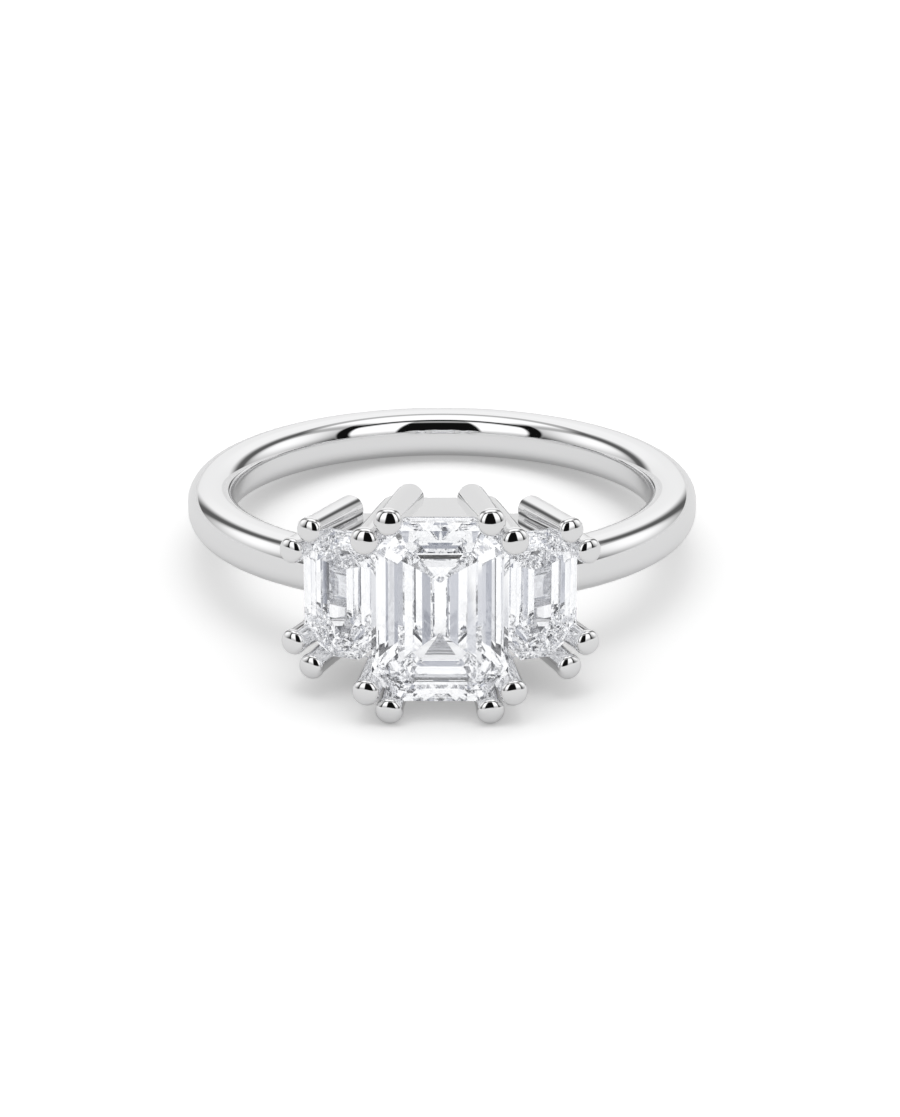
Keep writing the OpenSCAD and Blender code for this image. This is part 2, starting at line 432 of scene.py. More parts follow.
@dataclass(frozen=True)
class Claw(Part):
    """A round wire that runs from the shank to a stone and ends in a round head.

    Its radius r swells towards the foot: r (1 + swell (1 + cos(pi s / length)) / 2), with
    s the distance from the foot. The head is a squarish oval of revolution round the
    wire's end, (out / (head_share r)) ^ p + (up / depth) ^ p = 1, with the depth
    depth_share r in front and back_share r behind, where it stands out from the wire.
    """

    foot: Triple
    head: Triple
    radius: float
    swell: float = 0.12
    head_share: float = 1.08
    depth_share: float = 0.68
    back_share: float = 0.5
    power: float = 2.3
    foot_edge: float = 0.06 * MM
    cut_angle: float = math.radians(15)
    steps_round: int = 96
    steps_wire: int = 28
    steps_head: int = 36
    steps_foot: int = 6

    @property
    def length(self) -> float:
        """Length of the wire from its foot to its end in the head."""
        return float(np.linalg.norm(np.subtract(self.head, self.foot)))

    @property
    def axis(self) -> np.ndarray:
        """Direction of the wire, from its foot to its head."""
        return unit(np.subtract(self.head, self.foot))

    @property
    def neck(self) -> float:
        """Angle on the head's oval where it meets the wire, below zero as it is behind."""
        return -math.acos(self.head_share ** (-self.power / 2))

    def head_rise(self, angle: np.ndarray) -> np.ndarray:
        """Distance of the head's surface in front of the wire's end, at angles on the oval."""
        depth = np.where(angle < 0, self.back_share, self.depth_share) * self.radius
        return depth * np.sign(angle) * np.abs(np.sin(angle)) ** (2 / self.power)

    def wire_radius(self, along: np.ndarray) -> np.ndarray:
        """Radius of the wire at distances from its foot."""
        wave = (1 + np.cos(math.pi * along / self.length)) / 2
        return self.radius * (1 + self.swell * wave)

    def profile(self) -> np.ndarray:
        """Outline from the rounded edge of the foot to just short of the head's pole.

        Returns:
            Points as columns along the wire and out from its axis.
        """
        edge = np.linspace(0, math.pi / 2, self.steps_foot, endpoint=False)
        edge_out = self.wire_radius(np.zeros(1)) - self.foot_edge * (1 - np.sin(edge))
        oval = np.linspace(self.neck, math.pi / 2, self.steps_head, endpoint=False)
        head_along = self.length + self.head_rise(oval)
        head_out = self.head_share * self.radius * np.cos(oval) ** (2 / self.power)
        wire = np.linspace(self.foot_edge, head_along[0], self.steps_wire, endpoint=False)
        along = np.concatenate([self.foot_edge * (1 - np.cos(edge)), wire, head_along])
        out = np.concatenate([edge_out, self.wire_radius(wire), head_out])
        return np.stack([along, out], axis=-1)

    def build(self) -> Mesh:
        """Turns the outline round the wire's axis.

        Returns:
            The mesh of the claw, before its seat is cut.
        """
        across = unit(np.cross(self.axis, Z_AXIS))
        tips = (0.0, self.length + self.depth_share * self.radius)
        return self.turned(self.profile(), self.steps_round, np.array(self.foot), self.axis,
                           across, tips)

    def true_normals(self, points: np.ndarray, middles: np.ndarray) -> np.ndarray:
        """Normals of the smooth surface at points on or near it.

        On the wire the normal leans to the head by the slope of the swell. On the head it
        is the gradient of the oval's formula.

        Args:
            points: Points in the frame that the ring rests in.
            middles: Middle of the face that each point belongs to, which tells the wire's
                points from the head's where the two meet.

        Returns:
            One direction of length one for each point.
        """
        axis = self.pose.lay_direction(self.axis)
        offset = points - self.pose.lay(np.array(self.foot))
        along = offset @ axis
        spoke = offset - along[:, None] * axis
        out = np.linalg.norm(spoke, axis=1)
        spoke = spoke / np.maximum(out, TINY)[:, None]
        slope = (self.radius * self.swell / 2 * math.pi / self.length
                 * np.sin(math.pi * np.clip(along / self.length, 0, 1)))
        wire = spoke + slope[:, None] * axis
        up = along - self.length
        depth = np.where(up < 0, self.back_share, self.depth_share) * self.radius
        rise = np.sign(up) * (np.abs(up) / depth) ** (self.power - 1) / depth
        head_r = self.head_share * self.radius
        spread = (out / head_r) ** (self.power - 1) / head_r
        head = spread[:, None] * spoke + rise[:, None] * axis
        behind = float(self.head_rise(np.array(self.neck)))
        on_head = (middles - self.pose.lay(np.array(self.head))) @ axis > behind
        return unit(np.where(on_head[:, None], head, wire))

    def finish(self, piece: Object) -> None:
        """Gives the round faces their true normals and leaves the cut faces flat.

        A face is a cut one where it leans by more than cut_angle from the round surface.

        Args:
            piece: The claw, after its seat is cut.
        """
        mesh = piece.data
        corners = read(mesh.vertices, "co", 3)[read(mesh.loops, "vertex_index", 1, np.int32)]
        sizes = read(mesh.polygons, "loop_total", 1, np.int32)
        flat = read(mesh.polygons, "normal", 3)
        middles = read(mesh.polygons, "center", 3)
        agreement = np.einsum("ij,ij->i", flat, self.true_normals(middles, middles))
        round_face = np.repeat(agreement > math.cos(self.cut_angle), sizes)[:, None]
        smooth = self.true_normals(corners, np.repeat(middles, sizes, axis=0))
        normals = np.where(round_face, smooth, np.repeat(flat, sizes, axis=0))
        mesh.shade_smooth()
        mesh.normals_split_custom_set(normals.tolist())


@dataclass(frozen=True)
class Slab(Part):
    """A thin wall with four corners and softly rounded edges."""

    corners: tuple[Triple, ...]
    inward: Triple
    thickness: float = 0.5 * MM
    edge_r: float = 0.05 * MM
    edge_steps: int = 3
    sharp_from: float = math.radians(40)

    def build(self) -> Mesh:
        """Moves the four corners inwards for the second face and joins the two.

        Returns:
            The mesh of the wall, before its edges are rounded.
        """
        outer = np.array(self.corners)
        rings = np.stack([outer, outer + self.thickness * np.array(self.inward)])
        points = self.pose.lay(rings).reshape(-1, 3)
        sides = [[i, (i + 1) % 4, (i + 1) % 4 + 4, i + 4] for i in range(4)]
        return outward_mesh(self.name, points, [[0, 1, 2, 3], [4, 5, 6, 7], *sides])

    def finish(self, piece: Object) -> None:
        """Rounds the edges and lets the light run over them.

        Args:
            piece: The wall, after its seats are cut.
        """
        piece.data.shade_smooth()
        bevel = piece.modifiers.new("edges", "BEVEL")
        bevel.width = self.edge_r
        bevel.segments = self.edge_steps
        bevel.limit_method = "ANGLE"
        bevel.angle_limit = self.sharp_from
        bevel.harden_normals = True
        bake_modifiers(piece)


@dataclass(frozen=True)
class Rail(Part):
    """A plain round bar along the finger that joins the feet of claws to the shank."""

    angle: float
    distance: float
    reach: float
    radius: float = 0.42 * MM
    edge: float = 0.1 * MM
    sharp_from: float = math.radians(50)
    steps_round: int = 48
    steps_edge: int = 8

    def build(self) -> Mesh:
        """Turns a straight outline with rounded ends round a line along the finger.

        Returns:
            The mesh of the rail.
        """
        corner = np.linspace(0, math.pi / 2, self.steps_edge)
        out = self.radius - self.edge * (1 - np.sin(corner))
        along = self.reach - self.edge * (1 - np.cos(corner))
        profile = np.stack([
            np.concatenate([-along, along[::-1]]), np.concatenate([out, out[::-1]])], axis=-1)
        middle = self.distance * np.array([math.sin(self.angle), -math.cos(self.angle), 0.0])
        mesh = self.turned(profile, self.steps_round, middle, np.array(Z_AXIS),
                           np.array(X_AXIS), (-self.reach, self.reach))
        mesh.shade_smooth()
        mesh.set_sharp_from_angle(angle=self.sharp_from)
        return mesh


class Place(Enum):
    """Places of the claws in one quarter of the head: which stone, and where on it."""

    CENTRE_END = "centre_end"
    CENTRE_SIDE = "centre_side"
    SIDE_END = "side_end"
    SIDE_SIDE = "side_side"

    @property
    def on_centre(self) -> bool:
        """Tells whether the claw holds the centre stone."""
        return self in (Place.CENTRE_END, Place.CENTRE_SIDE)


@dataclass(frozen=True)
class ClawSeat:
    """Where one claw stands and what it reaches, in one quarter of the head.

    back and out give the head's middle from the corner where the stone's end and side
    would meet. The foot is given by its angle round the finger, its height over the
    finger hole and its distance along the finger.
    """

    place: Place
    back: float
    out: float
    at_end: bool
    foot_angle: float
    foot_rise: float
    foot_along: float


@dataclass(frozen=True)
class Head:
    """The setting and its stones: claws, walls, rails and three step-cut stones.

    A rise is a height over the finger hole for a stone, and over the girdle for a claw.
    """

    pose: RingPose
    centre_width: float = 5.11 * MM
    centre_length: float = 7.09 * MM
    centre_rise: float = 4.83 * MM
    side_width: float = 3.25 * MM
    side_length: float = 5.1 * MM
    side_rise: float = 2.93 * MM
    side_out: float = 3.64 * MM
    side_turn: float = math.radians(20)
    stone_corner: float = 1.0 * MM
    seat_play: float = 0.012
    centre_claw_rise: float = 0.58 * MM
    side_claw_rise: float = 0.87 * MM
    centre_wire_r: float = 0.50 * MM
    side_wire_r: float = 0.47 * MM
    centre_wall_share: float = 0.8
    side_wall_under: float = 0.25 * MM
    side_wall_in: float = 0.22 * MM
    side_wall_drop: float = 0.2 * MM
    seats: tuple[ClawSeat, ...] = (
        ClawSeat(Place.CENTRE_END, 0.66 * MM, 0.20 * MM, True,
                 math.radians(7.7), 0.3296 * MM, 2.9635 * MM),
        ClawSeat(Place.CENTRE_SIDE, 0.54 * MM, 0.20 * MM, False,
                 math.radians(11.3), 0.5 * MM, 2.5135 * MM),
        ClawSeat(Place.SIDE_END, 0.64 * MM, 0.20 * MM, True,
                 math.radians(21.5), 0.83 * MM, 2.52 * MM),
        ClawSeat(Place.SIDE_SIDE, 0.69 * MM, 0.09 * MM, False,
                 math.radians(25.0), 0.87 * MM, 1.8 * MM),
    )

    @property
    def centre(self) -> StepCut:
        """The centre stone."""
        return StepCut(
            self.pose, "centre_stone_cut", Node.CENTRE_STONE, self.centre_width,
            self.centre_length, self.stone_corner,
            (0.0, -self.pose.finger_r - self.centre_rise, 0.0))

    def side_stone(self, side: Side) -> StepCut:
        """One of the two side stones."""
        return StepCut(
            self.pose, f"{side.name.lower()}_stone_cut", Node[f"{side.name}_STONE"],
            self.side_width, self.side_length, self.stone_corner,
            (self.side_out, -self.pose.finger_r - self.side_rise, 0.0), self.side_turn, side)

    def stone_of(self, place: Place) -> StepCut:
        """The stone that a claw of the right half holds."""
        return self.centre if place.on_centre else self.side_stone(Side.RIGHT)

    def seat(self, place: Place) -> ClawSeat:
        """What the table of seats says of a claw."""
        return next(seat for seat in self.seats if seat.place is place)

    def claw_foot(self, place: Place) -> np.ndarray:
        """Middle of a claw's foot in the upper right quarter."""
        seat = self.seat(place)
        radius = self.pose.finger_r + seat.foot_rise
        return np.array([
            radius * math.sin(seat.foot_angle), -radius * math.cos(seat.foot_angle),
            seat.foot_along])

    def claw_head(self, place: Place) -> np.ndarray:
        """Middle of a claw's head in the upper right quarter, where its wire ends."""
        seat, stone = self.seat(place), self.stone_of(place)
        rise = self.centre_claw_rise if place.on_centre else self.side_claw_rise
        across = stone.width / 2 + (-seat.back if seat.at_end else seat.out)
        along = stone.length / 2 + (seat.out if seat.at_end else -seat.back)
        return stone.from_stone(np.array([across, rise, along]))

    def claw(self, place: Place, side: Side, level: Level) -> Claw:
        """Describes one claw.

        A lower claw's wire ends a little higher than its place says, by as much as its head
        is wider than the wire, so that the head lies on the floor.

        Args:
            place: Which claw of the quarter it is.
            side: Half of the head.
            level: End of the head.

        Returns:
            The claw in that quarter.
        """
        name = f"claw_{side.name.lower()}_{level.name.lower()}_{place.value}"
        foot = mirrored(self.claw_foot(place), side, level)
        head = mirrored(self.claw_head(place), side, level)
        radius = self.centre_wire_r if place.on_centre else self.side_wire_r
        if level is Level.LOWER:
            head[2] += (Claw.head_share - 1) * radius
        return Claw(self.pose, name, tuple(foot), tuple(head), radius)

    def wall(self, name: str, outline: np.ndarray, place: Place, drop: float,
             side: Side, level: Level) -> Slab:
        """Describes a wall of the gallery that leans as a claw does.

        Args:
            name: Name of the wall.
            outline: Its four corners across the head and out from the finger.
            place: The claw whose lean it has.
            drop: How far its outer face lies inside that claw's axis at the foot.
            side: Half of the head.
            level: End of the head.

        Returns:
            The wall in that quarter.
        """
        foot = self.claw_foot(place)
        run = self.claw_head(place) - foot
        lean = math.atan2(run[2], -run[1])
        depth = foot[1] - outline[:, 1]
        corners = np.stack([
            outline[:, 0], foot[1] - depth * math.cos(lean),
            foot[2] - drop + depth * math.sin(lean)], axis=-1)
        inward = np.array([0.0, -math.sin(lean), -math.cos(lean)])
        placed = tuple(map(tuple, mirrored(corners, side, level)))
        return Slab(self.pose, name, placed, tuple(mirrored(inward, side, level)))

    def centre_wall(self, level: Level) -> Slab:
        """The wall between the two claws at one end of the centre stone."""
        foot, head = self.claw_foot(Place.CENTRE_END), self.claw_head(Place.CENTRE_END)
        near = foot + self.centre_wall_share * (head - foot)
        outline = np.array([
            [foot[0], foot[1]], [near[0], near[1]], [-near[0], near[1]], [-foot[0], foot[1]]])
        name = f"centre_wall_{level.name.lower()}"
        return self.wall(name, outline, Place.CENTRE_END, 0.0, Side.RIGHT, level)

    def side_wall(self, side: Side, level: Level) -> Slab:
        """The wall between a centre claw and a side claw, ending under the side stone."""
        half = self.side_width / 2
        inner, outer = self.side_stone(Side.RIGHT).from_stone(np.array([
            [self.side_wall_in - half, -self.side_wall_under, 0.0],
            [half - self.seat(Place.SIDE_END).back, -self.side_wall_under, 0.0]]))
        near, far = self.claw_foot(Place.CENTRE_SIDE), self.claw_foot(Place.SIDE_END)
        outline = np.array([near[:2], inner[:2], outer[:2], far[:2]])
        name = f"side_wall_{side.name.lower()}_{level.name.lower()}"
        return self.wall(name, outline, Place.SIDE_END, self.side_wall_drop, side, level)

    def rails(self, shank: Shank) -> list[Rail]:
        """Describes the four rails under the head.

        Args:
            shank: The band that they join.

        Returns:
            Two rails for each half of the head.
        """
        inner, end = self.seat(Place.CENTRE_SIDE), self.seat(Place.SIDE_END)
        outer_angle = (end.foot_angle + self.seat(Place.SIDE_SIDE).foot_angle) / 2
        bars = {"inner": (inner.foot_angle, inner.foot_along),
                "outer": (outer_angle, end.foot_along)}
        return [
            Rail(self.pose, f"rail_{side.name.lower()}_{name}", side.value * angle,
                 shank.middle_r, reach)
            for side in Side for name, (angle, reach) in bars.items()]

    def build_stones(self, scale: float = 1.0) -> list[tuple[Object, Node]]:
        """Makes each stone with its node; a scale over one gives the room it is set in."""
        stones = [self.centre, *(self.side_stone(side) for side in Side)]
        return [(put_in_scene(stone.build(scale)), stone.node) for stone in stones]

    def build_metal(self, shank: Shank) -> list[Object]:
        """Makes the claws, walls and rails, with the seats of the stones cut out.

        Args:
            shank: The band that carries the head.

        Returns:
            The metal pieces.
        """
        cutters = [cutter for cutter, _ in self.build_stones(1 + self.seat_play)]
        quarters = [(side, level) for side in Side for level in Level]
        parts = [self.claw(place, *quarter) for quarter in quarters for place in Place]
        parts += [self.centre_wall(level) for level in Level]
        parts += [self.side_wall(*quarter) for quarter in quarters]
        pieces = []
        for part in parts:
            piece = put_in_scene(part.build())
            cut_seats(piece, cutters)
            part.finish(piece)
            pieces.append(piece)
        pieces += [put_in_scene(rail.build()) for rail in self.rails(shank)]
        for cutter in cutters:
            room = cutter.data
            bpy.data.objects.remove(cutter)
            bpy.data.meshes.remove(room)
        return pieces


class Graph:
    """Adds nodes to a node tree and joins them, so that a formula reads as one."""

    def __init__(self, tree: NodeTree) -> None:
        """Keeps the tree that the nodes go into."""
        self.tree = tree

    def add(self, kind: str, **inputs: object) -> bpy.types.Node:
        """Adds a node and sets or joins its inputs.

        Args:
            kind: Blender's name for the node.
            **inputs: Values or sockets by input name, with underscores for spaces.

        Returns:
            The new node.
        """
        node = self.tree.nodes.new(kind)
        for name, value in inputs.items():
            self.feed(node.inputs[name.replace("_", " ")], value)
        return node

    def feed(self, socket: NodeSocket, value: object) -> None:
        """Joins a socket to an input, or sets the input where value is a constant."""
        if isinstance(value, NodeSocket):
            self.tree.links.new(value, socket)
        else:
            socket.default_value = value

    def math(self, operation: str, *values: object) -> NodeSocket:
        """Adds a Math node and returns its result.

        Args:
            operation: Name of the operation.
            *values: Numbers or sockets, in order.

        Returns:
            The socket that holds the result.
        """
        node = self.tree.nodes.new("ShaderNodeMath")
        node.operation = operation
        for socket, value in zip(node.inputs, values):
            self.feed(socket, value)
        return node.outputs[0]

    def plane(self, direction: tuple, coefficients: Sequence[float]) -> NodeSocket:
        """Signed distance of a direction from a plane through the eye: a x + b y + c z."""
        terms = [self.math("MULTIPLY", axis, c) for axis, c in zip(direction, coefficients)]
        return self.math("ADD", self.math("ADD", terms[0], terms[1]), terms[2])

    def step(self, value: object, edge: float, soft: float) -> NodeSocket:
        """Rises smoothly from zero to one as value passes edge.

        Args:
            value: The socket to look at.
            edge: Where the result is one half.
            soft: Half the width of the rise.

        Returns:
            The socket that holds the result.
        """
        node = self.tree.nodes.new("ShaderNodeMapRange")
        node.interpolation_type = "SMOOTHSTEP"
        self.feed(node.inputs["Value"], value)
        node.inputs["From Min"].default_value = edge - soft
        node.inputs["From Max"].default_value = edge + soft
        return node.outputs["Result"]

    def between(self, value: object, limits: tuple[float, float], soft: float) -> NodeSocket:
        """One where value lies between two limits and zero outside them, with soft edges."""
        after = self.step(value, limits[0], soft)
        beyond = self.step(value, limits[1], soft)
        return self.math("MULTIPLY", after, self.math("SUBTRACT", 1.0, beyond))

    def either_side(self, axes: dict) -> tuple:
        """Direction whose X is how far to either side it points, whether left or right."""
        return self.math("ABSOLUTE", axes["X"]), axes["Y"], axes["Z"]

    def inside_stone(self, path: dict) -> NodeSocket:
        """One for light that has passed through a facet on its way, zero for any other."""
        return self.math("GREATER_THAN", path["Transmission Depth"], 0.5)

    def degrees(self, operation: str, *values: object) -> NodeSocket:
        """Result of an angle operation of the Math node, in degrees."""
        return self.math("MULTIPLY", self.math(operation, *values), math.degrees(1.0))

    def lerp(self, low: object, high: object, share: object) -> NodeSocket:
        """Blends two numbers: low where share is zero, high where it is one."""
        node = self.tree.nodes.new("ShaderNodeMix")
        for name, value in (("Factor", share), ("A", low), ("B", high)):
            self.feed(node.inputs[name], value)
        return node.outputs["Result"]

    def blend(self, low: object, high: object, share: object) -> NodeSocket:
        """Blends two colours: low where share is zero, high where it is one."""
        node = self.tree.nodes.new("ShaderNodeMix")
        node.data_type = "RGBA"
        colours = [socket for socket in node.inputs if socket.type == "RGBA"]
        self.feed(node.inputs["Factor"], share)
        self.feed(colours[0], low)
        self.feed(colours[1], high)
        return next(socket for socket in node.outputs if socket.type == "RGBA")


@dataclass(frozen=True)
class Edge:
    """Straight edge of a panel: the plane through the ring that it lies in.

    The plane is given as coefficients of (how far to either side, back, up). The panel is
    on the side where the plane's value is over the margin, and soft is half the width
    over which it fades there.
    """

    plane: Triple
    margin: float
    soft: float


@dataclass(frozen=True)
class Panel:
    """One light panel of the studio, seen as a part of the sky round the ring.

    It has its full level towards hot, and 1 - fade (1 - d . hot) of it in a direction d.
    Down at the horizon it has low_share of that.
    """

    level: float
    edges: tuple[Edge, ...]
    hot: Triple = Z_AXIS
    fade: float = 0.0
    low_share: float = 1.0


@dataclass(frozen=True)
class FloorLight:
    """One soft light on the floor: strength max(0, d . aim) ^ power, d a direction up."""

    strength: float
    aim: Triple
    power: float


@dataclass(frozen=True)
class Card:
    """A board of the studio that the stones show in their facets, in degrees.

    Bearings run from the front to the right, heights from the level upwards. A card on
    both sides is given by its distance from the front.
    """

    level: float
    bearing: tuple[float, float]
    height: tuple[float, float]
    both_sides: bool = False


def other_side(plane: tuple[float, ...]) -> tuple[float, ...]:
    """The same plane for a panel that lies on its other side."""
    return tuple(-value for value in plane)


# Planes that edges of two or more panels lie in, and one edge that many panels have
FRONT = (0.570, 0.784, -0.246)
FRONT_TOP = (0.0, -0.935, -0.355)
CEILING_SIDE = (0.782, -0.240, -0.575)
CORNER = (0.749, -0.592, -0.298)
BEHIND_FRONT = Edge(FRONT, 0.07, 0.025)

# Heights of the boards to either side of the table and of the narrow strips in front
BOARD_HEIGHT = (-30.0, -17.0)
STRIP_HEIGHT = (-16.5, -11.6)

# The strips from the left to the right: level, left edge and right edge
STRIPS = (
    (0.68, -29.3, -28.0), (0.88, -28.0, -27.0), (0.68, -21.5, -20.0), (0.08, -16.5, -14.1),
    (0.88, -14.1, -13.0), (0.52, -9.5, -8.0), (0.88, 0.1, 1.0), (0.60, 3.0, 4.0),
    (0.80, 6.0, 7.1), (0.14, 7.1, 8.0), (0.88, 9.0, 10.2), (0.48, 28.0, 29.3),
)


@dataclass(frozen=True)
class Studio:
    """Soft studio: a pale floor with lights, panels that shine in the metal, and cards.

    Metal reflects the panels, with dark gaps between them. It sees the studio turned by
    swing round the upright, so that left and right differ a little. The stones show cards
    of their own, as a jewel photographer puts small cards round a stone. The floor has
    lights of its own from overhead, from both sides and from the back.
    """

    lights: tuple[FloorLight, ...] = (
        FloorLight(3.38, (0.0, 0.174, 0.985), 16.0),
        FloorLight(1.31, (0.707, 0.0, 0.707), 6.0),
        FloorLight(0.49, (0.0, 0.866, 0.5), 6.0),
    )
    gap_level: float = 0.006
    floor_level: float = 0.81
    floor_reach: float = 2.0
    horizon: float = 0.07
    horizon_softness: float = 0.015
    low_until: float = 0.43
    swing: float = math.radians(2.5)
    card_level: float = 1.22
    card_softness: float = 0.12
    coolness: float = 0.24
    red_loss: float = 0.3
    panels: tuple[Panel, ...] = (
        # The corners of the studio, then its grey walls beside the windows and over them
        Panel(0.12, (BEHIND_FRONT,)),
        Panel(0.52, (BEHIND_FRONT, Edge(CORNER, 0.05, 0.07))),
        Panel(0.50, (BEHIND_FRONT, Edge(Z_AXIS, 0.76, 0.05))),
        # The grey lintel over the dark doorway
        Panel(0.42, (Edge(FRONT_TOP, -0.02, 0.05), Edge(Z_AXIS, 0.87, 0.02))),
        # Front windows, one each side of the doorway
        Panel(1.22, (Edge((0.927, 0.375, 0.0), 0.04, 0.02), Edge(other_side(FRONT), 0.08, 0.025),
                     Edge(FRONT_TOP, 0.0, 0.08)), low_share=0.45),
        # Side windows, brightest a little behind the ring
        Panel(1.20, (BEHIND_FRONT, Edge(CORNER, 0.10, 0.10), Edge(CEILING_SIDE, 0.08, 0.06)),
              hot=(0.84, 0.27, 0.47), fade=3.0, low_share=0.8),
        # Ceiling
        Panel(1.20, (Edge((0.0, 0.977, 0.215), 0.03, 0.03), Edge((0.0, -0.849, 0.527), 0.12, 0.05),
                     Edge(other_side(CEILING_SIDE), 0.15, 0.12))),
        # Back window
        Panel(1.05, (Edge(other_side(CORNER), 0.22, 0.12), Edge((0.0, 0.839, -0.545), 0.05, 0.05)),
              low_share=0.9),
    )
    cards: tuple[Card, ...] = (
        # Dark boards overhead, high in front, at either side and at the back
        Card(0.04, (-181, 181), (64, 91)),
        Card(0.05, (18, 48), (30, 56), True),
        Card(0.05, (50, 70), (-5, 31), True),
        Card(0.05, (122, 181), (4, 60), True),
        # Grey boards in front, darker low down and high up, and to either side under the table
        Card(0.46, (-15, 15), (-10, -7)),
        Card(0.72, (-15, 15), (-7, 5)),
        Card(0.50, (-15, 15), (5, 9)),
        Card(0.38, (-8, 8), (-11.6, -10.8)),
        Card(0.40, (30, 60), (-55, -30), True),
        # Boards to either side of the table, each side with its own greys
        Card(0.42, (-77, -60), BOARD_HEIGHT),
        Card(0.62, (-90, -77), BOARD_HEIGHT),
        Card(0.66, (60, 75), BOARD_HEIGHT),
        Card(0.42, (75, 87), BOARD_HEIGHT),
        Card(0.35, (95, 118), BOARD_HEIGHT, True),
        # Narrow strips that stand on the table in front
        *(Card(level, (left, right), STRIP_HEIGHT) for level, left, right in STRIPS),
        # A short dark ledge across the middle ones
        Card(0.0, (-3.5, 3.5), (-14.7, -13.1)),
    )

    def metal_sky(self, graph: Graph, axes: dict) -> NodeSocket:
        """Level of the panels that the metal reflects, later panels over earlier ones.

        Args:
            graph: The world's graph.
            axes: Direction from the ring, by axis.

        Returns:
            The socket that holds the level.
        """
        direction = graph.either_side(axes)
        middle = (self.horizon + self.low_until) / 2
        raised = graph.step(axes["Z"], middle, middle - self.horizon)
        level: object = self.gap_level
        for panel in self.panels:
            share: object = 1.0
            for edge in panel.edges:
                inside = graph.step(graph.plane(direction, edge.plane), edge.margin, edge.soft)
                share = graph.math("MULTIPLY", share, inside)
            off_hot = graph.math("SUBTRACT", 1.0, graph.plane(direction, panel.hot))
            dimmed = graph.math("SUBTRACT", 1.0, graph.math("MULTIPLY", off_hot, panel.fade))
            glow = graph.math("MULTIPLY", graph.math("MAXIMUM", dimmed, 0.0), panel.level)
            glow = graph.math("MULTIPLY", glow, graph.lerp(panel.low_share, 1.0, raised))
            level = graph.lerp(level, glow, share)
        over_floor = graph.step(axes["Z"], self.horizon, self.horizon_softness)
        return graph.lerp(self.floor_level, level, over_floor)

    def stone_sky(self, graph: Graph, axes: dict) -> NodeSocket:
        """Colour of the cards that the stones show, later cards over earlier ones.

        White cards are neutral, and grey ones are a little cooler: at a level g the blue is
        more by coolness g (1 - g), and the red is less by red_loss times that.

        Args:
            graph: The world's graph.
            axes: Direction from the ring, by axis.

        Returns:
            The socket that holds the colour.
        """
        bearing = graph.degrees("ARCTAN2", axes["X"], graph.math("MULTIPLY", axes["Y"], -1.0))
        height = graph.degrees("ARCSINE", axes["Z"])
        aside = graph.math("ABSOLUTE", bearing)
        level: object = self.card_level
        for card in self.cards:
            across = graph.between(aside if card.both_sides else bearing, card.bearing,
                                   self.card_softness)
            up = graph.between(height, card.height, self.card_softness)
            level = graph.lerp(level, card.level, graph.math("MULTIPLY", across, up))
        grey = graph.math("MAXIMUM", graph.math("SUBTRACT", 1.0, level), 0.0)
        cool = graph.math("MULTIPLY", graph.math("MULTIPLY", grey, level), self.coolness)
        red = graph.math("SUBTRACT", level, graph.math("MULTIPLY", cool, self.red_loss))
        blue = graph.math("ADD", level, cool)
        return graph.add("ShaderNodeCombineXYZ", X=red, Y=level, Z=blue).outputs["Vector"]

    def floor_sky(self, graph: Graph, axes: dict) -> NodeSocket:
        """Level of the lights on the floor, the same from the left and from the right.

        Args:
            graph: The world's graph.
            axes: Direction from the ring, by axis.

        Returns:
            The socket that holds the level.
        """
        direction = graph.either_side(axes)
        total: object = 0.0
        for light in self.lights:
            facing = graph.math("MAXIMUM", graph.plane(direction, light.aim), 0.0)
            level = graph.math("MULTIPLY", graph.math("POWER", facing, light.power), light.strength)
            total = graph.math("ADD", total, level)
        return total

    def paint_sky(self) -> None:
        """Makes the sky, one part for each kind of thing that sees it.

        The camera sees white, the floor its lights, a stone's inside the cards, and all
        else the panels.
        """
        world = bpy.data.worlds.new("studio")
        bpy.context.scene.world = world
        world.use_nodes = True
        world.cycles.sampling_method = "NONE"
        graph = Graph(world.node_tree)
        world.node_tree.nodes.clear()
        coordinates = graph.add("ShaderNodeTexCoord")
        axes = graph.add("ShaderNodeSeparateXYZ", Vector=coordinates.outputs["Generated"]).outputs
        turned = graph.add("ShaderNodeVectorRotate", Vector=coordinates.outputs["Generated"])
        turned.rotation_type = "Z_AXIS"
        turned.inputs["Angle"].default_value = -self.swing
        swung = graph.add("ShaderNodeSeparateXYZ", Vector=turned.outputs["Vector"]).outputs
        path = graph.add("ShaderNodeLightPath").outputs
        seen = graph.blend(self.metal_sky(graph, swung), self.stone_sky(graph, axes),
                           graph.inside_stone(path))
        seen = graph.blend(seen, self.floor_sky(graph, axes), path["Is Diffuse Ray"])
        seen = graph.blend(seen, WHITE, path["Is Camera Ray"])
        sky = graph.add("ShaderNodeBackground", Color=seen)
        graph.add("ShaderNodeOutputWorld", Surface=sky.outputs["Background"])

    def lay_floor(self, finish: Material) -> None:
        """Lays the floor under the ring, as a part of the stage.

        Args:
            finish: Material of the floor.
        """
        corners = np.array([[-1, -1, 0], [1, -1, 0], [1, 1, 0], [-1, 1, 0]]) * self.floor_reach
        mesh = bpy.data.meshes.new("floor")
        mesh.from_pydata(corners.tolist(), [], [[0, 1, 2, 3]])
        mesh.materials.append(finish)
        put_in_scene(mesh)


